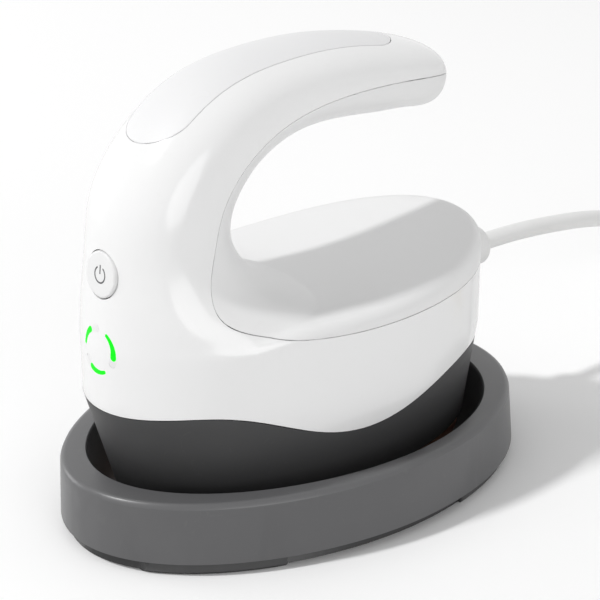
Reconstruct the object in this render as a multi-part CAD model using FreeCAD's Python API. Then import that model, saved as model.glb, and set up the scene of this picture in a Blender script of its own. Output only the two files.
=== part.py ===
import FreeCAD, Part
import math
import os
from FreeCAD import Vector

# A mini handheld heat press resting in its stand.
# Millimetres, +Z up, origin on the floor under the middle of the stand.
# The button end points to -Y, the cord leaves at +Y, and X = 0 is the plane of symmetry.

# Stand
stand_front = 80.8
stand_rear = 71.5
stand_half_width = 52.2
stand_widest_y = 5.0
stand_front_fullness = 0.76
stand_rear_fullness = 0.99
stand_height = 21.0
stand_draft = 2.4
stand_skin = 2.2
stand_floor_z = 3.0
stand_floor_thickness = 2.0
rim_front = 7.6
rim_side = 4.5
rim_rear = 9.6
rim_round = 1.6
rim_inner_round = 0.7
recess_draft = 1.6
channel_top_z = 17.5
skirt_inset = 4.0
skirt_bottom_z = 1.0
skirt_thickness = 1.8
foot_inset = 1.6
foot_width = 7.5
foot_round = 1.0
foot_front_span = (16.0, -68.0, -38.0)
foot_rear_span = (30.0, 22.0, 52.0)
foot_recess_depth = 1.6
rib_count = 10
rib_thickness = 1.6
pad_radius = 5.0
pad_seat_depth = 0.5
pad_clearance = 0.2
pad_places = ((-18.0, -34.0), (18.0, -34.0), (-22.0, 40.0), (22.0, 40.0))

# Outline of the press body seen from above, at its widest level
body_front = 70.0
body_rear = 63.2
body_half_width = 39.3
body_widest_y = 3.0
body_front_fullness = 0.95
body_rear_fullness = 1.02
body_top_z = 58.0

# Tapered lower body: what its foot has lost at the front, the rear and the sides
housing_bottom_z = 12.4
taper_top_z = 41.0
taper_front = 13.6
taper_rear = 3.6
taper_side = 4.0

# Shell walls and joints between the shells
wall = 2.2
handle_wall = 2.8
seam_gap = 0.25
cavity_half_width = 10.5
cavity_step = 8.0
parting_points = ((-90, 39.5), (-62, 41.3), (-47, 41.4), (-34, 37.3), (-18, 31.0), (-2, 28.7),
                  (14, 31.0), (29, 35.0), (43, 36.8), (58, 35.4), (90, 33.5))
seam_points = ((90, 66.0), (62, 61.3), (45, 59.4), (22, 58.4), (0, 58.4), (-23, 60.0), (-38, 63.2),
               (-46, 68.6), (-46, 76.0),
               (-42.8, 84.5), (-39.5, 93.0), (-32.5, 102.0), (-20, 110.3), (-5, 114.8), (15, 116.5),
               (38, 115.6), (90, 113.0))

# Crowned deck under the handle
deck_crest = ((-80.0, 46.0), (-64.0, 52.0), (-50.0, 59.2), (-36.0, 64.2), (-20.0, 65.8), (0.0, 66.0),
              (28.0, 67.1),
              (54.0, 69.1), (80.0, 72.1))
deck_crown = 3.2
deck_round = 3.6

# Foot of the column: it leaves the body's whole outline and narrows to the handle as it rises
column_top_z = 83.5
column_top_y = -44.7
column_top_half_width = 20.0
column_top_reach = 19.4
column_inner_reach = 16.0
column_root_inner_y = 17.0
column_levels = (0.0, 0.1, 0.22, 0.38, 0.6, 1.0)

# Handle above it: each station is centre y, centre z, tilt, reach outward, reach inward, half width
handle_arc = (
    (-44.2, 92.0, 170.0, 18.3, 15.8, 19.4),
    (-38.5, 102.6, 149.0, 16.3, 15.4, 18.8),
    (-26.0, 112.6, 121.0, 13.9, 14.1, 18.2),
    (-8.0, 117.5, 99.0, 12.0, 12.0, 17.6),
    (12.0, 118.0, 89.0, 11.5, 11.6, 17.3),
    (28.0, 116.3, 81.5, 11.0, 11.1, 16.7),
)
handle_tip = (41.0, 113.9, 74.0, 10.2, 9.7, 15.8)
handle_fullness = 1.16
tip_length = 12.2

# Grip inlay on top of the handle
inlay_half_width = 10.6
inlay_depth = 3.2
inlay_gap = 0.3
glue_gap = 0.2
inlay_start = (-43.6, 117.8, 136.0)
inlay_end = (24.0, 128.0, 83.0)
inlay_floor = 1.7

# Button and indicator on the front
button_z = 78.4
button_radius = 6.2
button_proud = 0.5
button_gap = 0.3
button_travel = 0.6
button_bevel = 0.4
button_skin = 2.6
button_flange = 1.3
button_flange_thickness = 1.2
light_z = 57.8
light_radius = 6.0
light_wide = 1.9
light_narrow = 0.8
light_span = 76.0
light_angles = (137.0, 17.0, 257.0)
lens_plate_radius = 7.8
lens_plate_thickness = 1.2
lens_skin = 2.8
shroud_wall = 1.0
led_size = 2.2
led_height = 1.9
board_thickness = 1.6
control_board_y = -54.5
control_board_half_width = 9.5
control_board_low_z = 44.5
control_board_high_z = 88.0
control_boss_radius = 1.7
control_boss_places = ((-7.0, 47.5), (7.0, 47.5), (-7.0, 85.5), (7.0, 85.5))
switch_size = 6.0
switch_height = 3.4
plunger_radius = 1.7
switch_bore = 2.2
control_screw_radius = 0.8

# Heating group, from the bottom up
plate_bottom_z = 6.0
plate_thickness = 5.5
plate_inset = 1.4
plate_round = 1.2
element_radius = 2.0
element_sink = 2.05
element_half_gap = 14.0
element_bend_y = -20.0
element_rear_y = 30.0
element_top_z = 25.0
element_groove_clearance = 0.1
element_end_bend = 5.0
cover_inset = 5.0
cover_thickness = 1.5
mat_thickness = 3.0
mat_gap = 0.3
shield_thickness = 0.8
shield_inset = 3.2
shield_lip = 2.0
web_z = 20.0
web_thickness = 2.0
post_radius = 3.0
post_screw_length = 7.0
stud_depth = 3.2
post_places = ((-16.0, -32.0), (16.0, -32.0), (-16.0, 46.0), (16.0, 46.0))
cover_screw_places = ((0.0, -44.0), (-22.0, 6.0), (22.0, 6.0), (0.0, 50.0), (0.0, 8.0))
screw_radius = 1.5
screw_head_radius = 2.7
screw_head_height = 1.8
hole_clearance = 0.3
thread_clearance = 0.05

# Inside the body
shell_boss_radius = 3.4
shell_boss_places = ((-26.4, -20.0), (26.4, -20.0), (-26.4, 31.0), (26.4, 31.0))
housing_screw_length = 10.0
handle_post_radius = 3.2
handle_boss_radius = 4.2
handle_seat_depth = 2.2
handle_seat_floor = 1.8
handle_seat_gap = 0.4
power_board_z = 28.0
power_board_half_width = 22.0
power_board_front_y = -24.0
power_board_rear_y = 24.0
board_post_radius = 2.6
board_post_places = ((-19.0, -20.0), (19.0, -20.0), (-19.0, 20.0), (19.0, 20.0))
board_screw_length = 6.0
terminal_block = (-16.2, 16.2, 12.0, 22.0)
terminal_block_height = 9.0
relay = (-17.0, -2.0, -18.0, 1.0)
relay_height = 15.0
capacitor_place = (9.0, -12.0)
capacitor_radius = 5.0
capacitor_height = 14.0
supply_wire_x = 5.0
cable_half_width = 4.0
cable_thickness = 0.9
cable_bend = 6.8
wire_radius = 1.1
fine_wire_radius = 0.5
sensor_place = (0.0, -8.0)
sensor_radius = 3.0
sensor_height = 2.4
fuse_place = (8.0, 14.0)
fuse_radius = 1.9
fuse_length = 11.0
fuse_lift = 2.1
fuse_lead_reach = 2.0
strap_gap = 0.1
strap_thickness = 0.7
strap_half_reach = 3.8
connector_half_width = 5.0
connector_depth = 4.0
connector_height = 5.0
terminal_screw_depth = 1.5

# Cord and its gland
cord_diameter = 5.6
gland_front_y = 61.2
gland_flange_y = 62.7
gland_rear_y = 80.0
cord_exit_z = 51.7
gland_neck_radius = 4.4
gland_radius = 6.3
gland_flange_radius = 5.8
gland_end_round = 1.6
cord_points = ((0, 80, 51.7), (0, 94, 51.7), (0.4, 114, 50.3), (0.2, 136, 47.4), (-3.5, 160, 40.5),
               (-13, 184, 26.5), (-25, 206, 13.2), (-34, 226, 10.2), (-36, 244, 10.1), (-36, 258, 10.1))
coil_pitch = 6.2
coil_outer_radius = 44.3
coil_half_turns = 7
coil_layer_pitch = 6.1
tail_points = ((0, 0, 0), (0, -11, 0), (0.3, -24, 0.9), (0, -36, 2.5), (0, -48, 2.5))
plug_thickness = 13.0
plug_width = 20.0
plug_length = 32.0
blade_length = 17.0
blade_width = 6.3
blade_thickness = 1.5
blade_half_gap = 6.35
plug_nose_width = 9.0
plug_sink = 6.0
plug_shoulder = 0.45
plug_corner = 3.0
blade_hole_radius = 1.6
blade_hole_place = 4.5
tie_width = 9.0
tie_thickness = 0.8
tie_gap = 0.3
tie_slack = 1.7

plate_top_z = plate_bottom_z + plate_thickness
cover_top_z = plate_top_z + cover_thickness
mat_top_z = cover_top_z + mat_gap + mat_thickness
shield_z = mat_top_z + mat_gap
web_top_z = web_z + web_thickness
stand_floor_top_z = stand_floor_z + stand_floor_thickness
along_y = Vector(0, 1, 0)


def save(shape, node):
    shape.exportStep("parts/" + node + ".step")
    print(node, "solids", len(shape.Solids), "volume", round(shape.Volume, 1), shape.isValid())


def solids_of(shapes):
    return Part.makeCompound(shapes)


def cylinder(radius, height, base, axis=Vector(0, 0, 1)):
    return Part.makeCylinder(radius, height, base, axis)


def box(x0, x1, y0, y1, z0, z1):
    return Part.makeBox(x1 - x0, y1 - y0, z1 - z0, Vector(x0, y0, z0))


def oval(centre, out_dir, reach_out, reach_in, half_width, full_out, full_in):
    """Closed wire of two Bezier halves that meet at the widest place, symmetric about X = 0.

    A fullness of 1 is close to an ellipse, more is squarer and less is more pointed.
    """
    halves = []
    for side, reach, full in ((1, reach_out, full_out), (-1, reach_in, full_in)):
        crown = (16 - 8 * full) / 6
        poles = []
        for across, along in ((1, 0), (1, full), (0, crown), (-1, full), (-1, 0)):
            poles.append(centre + Vector(across * half_width * side, 0, 0) + out_dir * (along * reach * side))
        curve = Part.BezierCurve()
        curve.setPoles(poles)
        halves.append(curve.toShape())
    return Part.Wire(halves)


def body_outline(z, inset=0.0, shrink=1.0):
    lost = min(max((taper_top_z - z) / (taper_top_z - housing_bottom_z), 0.0), 1.0)
    return oval(Vector(0, body_widest_y, z), Vector(0, -1, 0),
                (body_front - taper_front * lost) * shrink - inset,
                (body_rear - taper_rear * lost) * shrink - inset,
                (body_half_width - taper_side * lost) * shrink - inset,
                body_front_fullness, body_rear_fullness)


def lower_body(inset=0.0, low=housing_bottom_z, high=body_top_z):
    levels = sorted({low, high, min(max(taper_top_z, low), high)})
    return Part.makeLoft([body_outline(z, inset) for z in levels], True, True)


def slab_wire(z, inset):
    """The outline that the body has at its foot, drawn in by the inset and set at a height."""
    wire = body_outline(housing_bottom_z, inset)
    wire.translate(Vector(0, 0, z - housing_bottom_z))
    return wire


def slab(z, thickness, inset):
    return Part.Face(slab_wire(z, inset)).extrude(Vector(0, 0, thickness))


def ruled(*wires):
    return Part.makeLoft(list(wires), True, True)


def ring(radius, wall_thickness, height, base, axis=Vector(0, 0, 1)):
    return cylinder(radius, height, base, axis).cut(cylinder(radius - wall_thickness, height, base, axis))


def screw(seat, length, axis=Vector(0, 0, 1)):
    """Pan head screw: the head stands on the seat along the axis, the shank goes the other way."""
    head = cylinder(screw_head_radius, screw_head_height, seat, axis)
    arm = screw_head_radius * 0.55
    slit = screw_radius * 0.25
    low = screw_head_height * 0.5
    high = screw_head_height * 1.5
    cross = box(-arm, arm, -slit, slit, low, high).fuse(box(-slit, slit, -arm, arm, low, high))
    cross.Placement = FreeCAD.Placement(seat, FreeCAD.Rotation(Vector(0, 0, 1), axis))
    return head.fuse(cylinder(screw_radius, length, seat, axis * -1)).cut(cross)


def above_deck(sink=0.0):
    """Everything over the crowned surface of the deck, or over the same surface sunk by a wall."""
    half = body_half_width + deck_round
    drop = deck_crown * (half / body_half_width) ** 2
    crowns = []
    for y, crest in deck_crest:
        z = crest - sink
        crown = Part.Arc(Vector(-half, y, z - drop), Vector(0, y, z), Vector(half, y, z - drop))
        crowns.append(Part.Wire([crown.toShape()]))
    return Part.makeLoft(crowns, False, False).Faces[0].extrude(Vector(0, 0, 2 * body_top_z))


def deck_part():
    """Top of the body: a crowned deck with a rounded edge that sinks into the column's root at the front."""
    block = Part.Face(body_outline(taper_top_z)).extrude(Vector(0, 0, body_top_z)).cut(above_deck())
    rim = [edge for edge in block.Edges if edge.BoundBox.ZMin > taper_top_z + 0.5 and edge.BoundBox.XLength > 1]
    return block.makeFillet(deck_round, rim)


def station_wire(station, inset=0.0, low=1.0):
    y, z, tilt, reach_out, reach_in, half = station
    out_dir = Vector(0, math.cos(math.radians(tilt)), math.sin(math.radians(tilt)))
    full = body_front_fullness + (handle_fullness - body_front_fullness) * low
    return oval(Vector(0, y, z), out_dir, reach_out - inset, reach_in - inset, half - inset, full, full)


def tip_stations(inset):
    """The round end of the handle, stations that close in like a quarter circle."""
    y, z, tilt, reach_out, reach_in, half = handle_tip
    along = Vector(0, math.sin(math.radians(tilt)), -math.cos(math.radians(tilt)))
    stations = [handle_tip]
    for share in (0.5, 0.82, 0.98):
        size = math.sqrt(1 - share ** 2.3)
        place = Vector(0, y, z) + along * (share * (tip_length - inset))
        stations.append((place.y, place.z, tilt - 6 * share,
                         reach_out * size + inset * (1 - size), reach_in * size + inset * (1 - size),
                         half * size + inset * (1 - size)))
    return stations


def column_station(share):
    """Level part of the column: the front stays upright while sides and back draw in."""
    z = body_top_z + (column_top_z - body_top_z) * share
    left = (1 - share) ** 2
    centre = column_top_y + (body_widest_y - column_top_y) * (1 - share) ** 3
    front = column_top_y - column_top_reach
    front += (body_widest_y - body_front - front) * (1 - share)
    inner = column_top_y + column_inner_reach
    inner += (column_root_inner_y - inner) * left
    half = column_top_half_width + (body_half_width - column_top_half_width) * left
    return (centre, z, 180.0, centre - front, inner - centre, half)


def handle_form(inset=0.0):
    wires = [station_wire(column_station(share), inset, share) for share in column_levels]
    for station in handle_arc + tuple(tip_stations(inset)):
        wires.append(station_wire(station, inset))
    return Part.makeLoft(wires, True, False)


def side_profile(points, close_to, shift=0.0, lift=0.0):
    """Prism across the whole width under or over a line that is drawn in side view."""
    spots = [Vector(0, y, z) for y, z in points]
    moved = []
    for index, spot in enumerate(spots):
        before = spots[max(index - 1, 0)]
        after = spots[min(index + 1, len(spots) - 1)]
        run = (after - before).normalize()
        moved.append(spot + Vector(0, -run.z, run.y) * shift + Vector(0, 0, lift))
    curve = Part.BSplineCurve()
    curve.interpolate(Points=moved)
    corners = [moved[-1]] + [Vector(0, y, z) for y, z in close_to] + [moved[0]]
    edges = [curve.toShape()]
    for start, end in zip(corners, corners[1:]):
        edges.append(Part.LineSegment(start, end).toShape())
    face = Part.Face(Part.Wire(edges))
    face.translate(Vector(-100, 0, 0))
    return face.extrude(Vector(200, 0, 0))


def above_parting(lift=0.0):
    return side_profile(parting_points, ((90, 200), (-90, 200)), 0.0, lift)


def inside_seam(shift=0.0):
    """The space inside the C of the handle, bounded by the seam of the inner cover."""
    return side_profile(seam_points, (), shift)


def side_line(reach_index, sign, offset, shares=column_levels):
    """Points of the handle's outer or inner line in side view, moved along each station's direction."""
    points = []
    stations = [column_station(share) for share in shares] + list(handle_arc) + [handle_tip]
    for station in stations:
        y, z, tilt = station[:3]
        reach = station[reach_index] + offset
        points.append((y + sign * math.cos(math.radians(tilt)) * reach,
                       z + sign * math.sin(math.radians(tilt)) * reach))
    return points


def outer_line(offset):
    return side_line(3, 1, offset)


def inner_line(offset):
    return side_line(4, -1, offset)


def prism_between(first, second, half_width):
    """Slab across X whose side view lies between two smooth lines."""
    edges = []
    for points in (first, second):
        curve = Part.BSplineCurve()
        curve.interpolate(Points=[Vector(-half_width, y, z) for y, z in points])
        edges.append(curve)
    joins = [Part.LineSegment(edges[0].EndPoint, edges[1].EndPoint),
             Part.LineSegment(edges[0].StartPoint, edges[1].StartPoint)]
    ordered = Part.__sortEdges__([edge.toShape() for edge in edges + joins])
    return Part.Face(Part.Wire(ordered)).extrude(Vector(2 * half_width, 0, 0))


def body_cavity():
    """Hollow of the body: straight walled, a shelf all round under the seam, the deck's own curve above."""
    low = lower_body(wall, web_z, body_top_z - wall)
    step = body_outline(body_top_z, wall + cavity_step)
    step.translate(Vector(0, 0, -wall - 0.5))
    return low.fuse(Part.Face(step).extrude(Vector(0, 0, body_top_z)).cut(above_deck(wall)))


def handle_cavity():
    """Hollow of the column and handle, with an opening down into the body for the control board."""
    front_wall = inlay_depth + inlay_floor
    mouth = box(-cavity_half_width, cavity_half_width, front_y(body_top_z) + front_wall, column_top_y,
                body_top_z - 2 * wall, body_top_z + wall)
    return prism_between(outer_line(-front_wall), inner_line(-handle_wall), cavity_half_width).fuse(mouth)


def inlay_tool(grow, depth):
    """A pill laid over the top of the handle, deep enough to reach its curved sides."""
    outer = outer_line(6.0)
    inner = outer_line(-depth)
    band = prism_between(outer, inner, inlay_half_width + grow)
    ends = []
    for y, z, tilt in (inlay_start, inlay_end):
        out_dir = Vector(0, math.cos(math.radians(tilt)), math.sin(math.radians(tilt)))
        ends.append((Vector(0, y, z), out_dir))
    keep = []
    for place, out_dir in ends:
        keep.append(cylinder(inlay_half_width + grow, 24, place - out_dir * 12, out_dir))
    (first, first_dir), (last, last_dir) = ends
    top = [first + first_dir * 12, Vector(0, -38, 138), Vector(0, 0, 146), last + last_dir * 12]
    low = [last - last_dir * 12, Vector(0, 0, 112), Vector(0, -28, 108), first - first_dir * 12]
    middle = Part.Face(Part.makePolygon(top + low + [top[0]]))
    middle.translate(Vector(-20, 0, 0))
    keep.append(middle.extrude(Vector(40, 0, 0)))
    return band.common(keep[0].fuse(keep[1:]))


def stand_outline(z, front=0.0, side=0.0, rear=0.0):
    lift = (z - stand_floor_z) / (stand_height - stand_floor_z) * stand_draft
    return oval(Vector(0, stand_widest_y, z), Vector(0, -1, 0), stand_front - lift - front,
                stand_rear - lift - rear, stand_half_width - lift - side,
                stand_front_fullness, stand_rear_fullness)


def even_outline(z, inset):
    return stand_outline(z, inset, inset, inset)


def recess_outline(z, grow=0.0):
    """Inside face of the rim, drawn in a little towards the floor."""
    low = (stand_height - z) / (stand_height - stand_floor_top_z) * recess_draft
    lift = (z - stand_floor_z) / (stand_height - stand_floor_z) * stand_draft
    full = stand_draft - lift
    return stand_outline(z, rim_front + low + full - grow, rim_side + low + full - grow,
                         rim_rear + low + full - grow)


def foot_boxes():
    x0, y0, y1 = foot_front_span
    boxes = [box(side * x0 if side > 0 else -60, 60 if side > 0 else -x0, y0, y1, -1, 6) for side in (1, -1)]
    x0, y0, y1 = foot_rear_span
    boxes += [box(side * x0 if side > 0 else -60, 60 if side > 0 else -x0, y0, y1, -1, 6) for side in (1, -1)]
    return boxes


def stand_parts():
    soft = rim_round * (1 - math.sqrt(0.5))
    shell = ruled(even_outline(stand_floor_z, 0), even_outline(stand_height - rim_round, 0),
                  even_outline(stand_height - soft, soft), even_outline(stand_height, rim_round))
    recess = ruled(recess_outline(stand_floor_top_z), recess_outline(stand_height - rim_inner_round),
                   recess_outline(stand_height, rim_inner_round),
                   recess_outline(stand_height + 1, rim_inner_round))
    shell = shell.cut(recess)
    channel = ruled(even_outline(stand_floor_z - 1, stand_skin), even_outline(channel_top_z, stand_skin))
    core = ruled(recess_outline(stand_floor_z - 1, stand_skin),
                 recess_outline(channel_top_z, stand_skin))
    channel = channel.cut(core)
    ribs = []
    for index in range(rib_count):
        angle = math.radians(18 + 360 * index / rib_count)
        rib = box(0, 90, -rib_thickness / 2, rib_thickness / 2, stand_floor_z - 2, channel_top_z + 1)
        rib.rotate(Vector(0, 0, 0), Vector(0, 0, 1), math.degrees(angle))
        rib.translate(Vector(0, stand_widest_y, 0))
        ribs.append(rib)
    shell = shell.cut(channel.cut(Part.makeCompound(ribs)))
    skirt = ruled(even_outline(skirt_bottom_z, skirt_inset), even_outline(stand_floor_z + 0.5, skirt_inset))
    skirt = skirt.cut(ruled(even_outline(skirt_bottom_z - 1, skirt_inset + skirt_thickness),
                            even_outline(stand_floor_z + 1, skirt_inset + skirt_thickness)))
    foot_zone = Part.makeCompound(foot_boxes())
    skirt = skirt.cut(foot_zone)
    floor_zone = ruled(even_outline(stand_floor_z, foot_inset),
                       even_outline(stand_floor_z + foot_recess_depth, foot_inset))
    bridge = floor_zone.cut(ruled(even_outline(stand_floor_z - 1, foot_inset + foot_width + 1),
                                  even_outline(stand_floor_z + 3, foot_inset + foot_width + 1)))
    shell = shell.fuse([skirt, bridge.common(foot_zone)])
    ring = ruled(even_outline(0, foot_inset + foot_round), even_outline(foot_round, foot_inset),
                 even_outline(stand_floor_z, foot_inset))
    hole = ruled(even_outline(-1, foot_inset + foot_width),
                 even_outline(stand_floor_z + 1, foot_inset + foot_width))
    ring = ring.cut(hole)
    feet = [ring.common(zone) for zone in foot_boxes()]
    pads = []
    for x, y in pad_places:
        seat_z = stand_floor_top_z - pad_seat_depth
        shell = shell.cut(cylinder(pad_radius + pad_clearance, stand_floor_thickness, Vector(x, y, seat_z)))
        pads.append(cylinder(pad_radius, plate_bottom_z - seat_z, Vector(x, y, seat_z)))
    save(shell.removeSplitter(), "stand_shell")
    save(solids_of(feet), "stand_feet")
    save(solids_of(pads), "plate_rest_pads")


def light_arc(angle, grow):
    """One tapered arc of the indicator, seen from the front, as a face."""
    half = math.radians(light_span / 2)
    middle = math.radians(angle)

    def spot(turn, radius):
        return Vector(radius * math.cos(middle + turn), 0, light_z + radius * math.sin(middle + turn))

    wide = light_wide / 2 + grow
    narrow = light_narrow / 2 + grow
    mean = (wide + narrow) / 2
    half += grow / light_radius
    outer = Part.Arc(spot(-half, light_radius + wide), spot(0, light_radius + mean),
                     spot(half, light_radius + narrow))
    inner = Part.Arc(spot(half, light_radius - narrow), spot(0, light_radius - mean),
                     spot(-half, light_radius - wide))
    wide_end = Part.Arc(spot(-half, light_radius - wide), spot(-half - wide / light_radius, light_radius),
                        spot(-half, light_radius + wide))
    narrow_end = Part.Arc(spot(half, light_radius + narrow), spot(half + narrow / light_radius, light_radius),
                          spot(half, light_radius - narrow))
    edges = [outer.toShape(), narrow_end.toShape(), inner.toShape(), wide_end.toShape()]
    return Part.Face(Part.Wire(edges))


def front_y(z):
    """Where the front line of the body and column is at this height."""
    share = min(max((z - body_top_z) / (column_top_z - body_top_z), 0.0), 1.0)
    low = body_widest_y - body_front
    return low + (column_top_y - column_top_reach - low) * share


def handle_screw_stations():
    """Centre, outward direction and reaches of the two places where the handle is screwed together."""
    places = []
    for y, z, tilt, reach_out, reach_in, half in handle_arc[3:5]:
        out_dir = Vector(0, math.cos(math.radians(tilt)), math.sin(math.radians(tilt)))
        places.append((Vector(0, y, z), out_dir, reach_out - inlay_depth, reach_in))
    return places


def shell_parts(form):
    hollow = body_cavity().fuse(handle_cavity())
    outer = form.common(above_parting(seam_gap / 2)).cut(hollow)
    outer = outer.cut([inside_seam(seam_gap / 2), inlay_tool(inlay_gap, inlay_depth)])
    outer = max(outer.Solids, key=lambda solid: solid.Volume)
    adds = []
    cuts = [gland_hole()]
    for x, y in shell_boss_places:
        foot = Vector(x, y, web_top_z)
        adds.append(cylinder(shell_boss_radius, body_top_z - wall + 0.7 - web_top_z, foot))
        cuts.append(cylinder(screw_radius + thread_clearance, housing_screw_length, foot))
    board_front = control_board_y - board_thickness
    for x, z in control_boss_places:
        start = front_y(z) + wall + 0.2
        adds.append(cylinder(control_boss_radius, board_front - start, Vector(x, start, z), along_y))
    light_front = front_y(light_z)
    pad = cylinder(lens_plate_radius + wall, lens_skin + lens_plate_thickness,
                   Vector(0, light_front, light_z), along_y)
    adds.append(pad.common(form))
    seat = Vector(0, light_front + lens_skin, light_z)
    cuts.append(cylinder(lens_plate_radius + 0.2, wall * 3, seat, along_y))
    seat = Vector(0, light_front + lens_skin + lens_plate_thickness, light_z)
    cuts.append(cylinder(lens_plate_radius + shroud_wall + 0.4, board_front - seat.y, seat, along_y))
    for angle in light_angles:
        slot = light_arc(angle, 0.1)
        slot.translate(Vector(0, light_front - wall, 0))
        cuts.append(slot.extrude(Vector(0, wall * 3, 0)))
    button_front = front_y(button_z)
    cuts.append(cylinder(button_radius + button_gap, wall * 4, Vector(0, button_front - wall, button_z),
                         along_y))
    cuts.append(cylinder(button_radius + button_flange + button_gap, board_front - button_front - button_skin,
                         Vector(0, button_front + button_skin, button_z), along_y))
    for centre, out_dir, reach, _ in handle_screw_stations():
        low = centre + out_dir * (reach - handle_seat_depth - handle_seat_floor)
        adds.append(cylinder(handle_boss_radius, handle_seat_depth + handle_seat_floor - handle_seat_gap, low, out_dir))
        cuts.append(cylinder(screw_radius + hole_clearance, wall * 4, low - out_dir, out_dir))
        cuts.append(cylinder(screw_head_radius + hole_clearance, wall * 4, low + out_dir * handle_seat_floor,
                             out_dir))
    save(outer.fuse(adds).cut(cuts).removeSplitter(), "outer_shell")

    cover = form.cut(hollow).common(inside_seam(-seam_gap / 2))
    cover = max(cover.Solids, key=lambda solid: solid.Volume)
    posts = []
    holes = []
    screws = []
    for centre, out_dir, reach, reach_in in handle_screw_stations():
        top = centre + out_dir * (reach - handle_seat_depth - handle_seat_floor)
        bottom = centre - out_dir * (reach_in - handle_wall / 2)
        posts.append(cylinder(handle_post_radius, (top - bottom).Length, bottom, out_dir))
        seat = top + out_dir * handle_seat_floor
        length = handle_seat_floor + housing_screw_length
        holes.append(cylinder(screw_radius + thread_clearance, length, seat - out_dir * (length + 1), out_dir))
        screws.append(screw(seat, length, out_dir))
    save(cover.fuse(posts).cut(holes).removeSplitter(), "inner_cover")
    save(solids_of(screws), "handle_screws")
    save(form.common(inlay_tool(0.0, inlay_depth - glue_gap)).removeSplitter(), "grip_inlay")


def gland_hole():
    start = Vector(0, gland_front_y - wall, cord_exit_z)
    neck = cylinder(gland_neck_radius + 0.1, gland_rear_y - gland_front_y, start, along_y)
    return neck.fuse(cylinder(gland_flange_radius + 0.2, gland_flange_y - gland_front_y + wall, start, along_y))


def housing_parts():
    outer = lower_body(0.0, housing_bottom_z, taper_top_z + 3)
    outer = outer.cut(above_parting(-seam_gap / 2))
    housing = outer.cut([lower_body(wall, web_top_z, taper_top_z + 4),
                         lower_body(wall, housing_bottom_z - 0.1, web_z)])
    holes = []
    screws = []
    for x, y in post_places + shell_boss_places:
        holes.append(cylinder(screw_radius + hole_clearance, 2 * web_thickness, Vector(x, y, web_z - 1)))
    for x, y in shell_boss_places:
        screws.append(screw(Vector(x, y, web_z), housing_screw_length, Vector(0, 0, -1)))
    for side in (1, -1):
        terminal = Vector(side * element_half_gap, element_rear_y, web_z - 1)
        holes.append(cylinder(element_radius * 1.5, 2 * web_thickness, terminal))
    for x, y in fine_wire_places():
        holes.append(cylinder(element_radius, 2 * web_thickness, Vector(x, y, web_z - 1)))
    posts = []
    for x, y in board_post_places:
        posts.append(cylinder(board_post_radius, power_board_z - web_top_z, Vector(x, y, web_top_z)))
        top = Vector(x, y, power_board_z)
        holes.append(cylinder(screw_radius + thread_clearance, board_screw_length,
                              top - Vector(0, 0, board_screw_length)))
    save(housing.fuse(posts).cut(holes).removeSplitter(), "lower_housing")
    save(solids_of(screws), "housing_screws")


def fine_wire_places():
    """Where the two fuse leads and the sensor lead pass the web on their way to the board."""
    x, y = fuse_place
    reach = fuse_length / 2 + fuse_lead_reach
    return (sensor_place, (x - reach, y), (x + reach, y))


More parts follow.
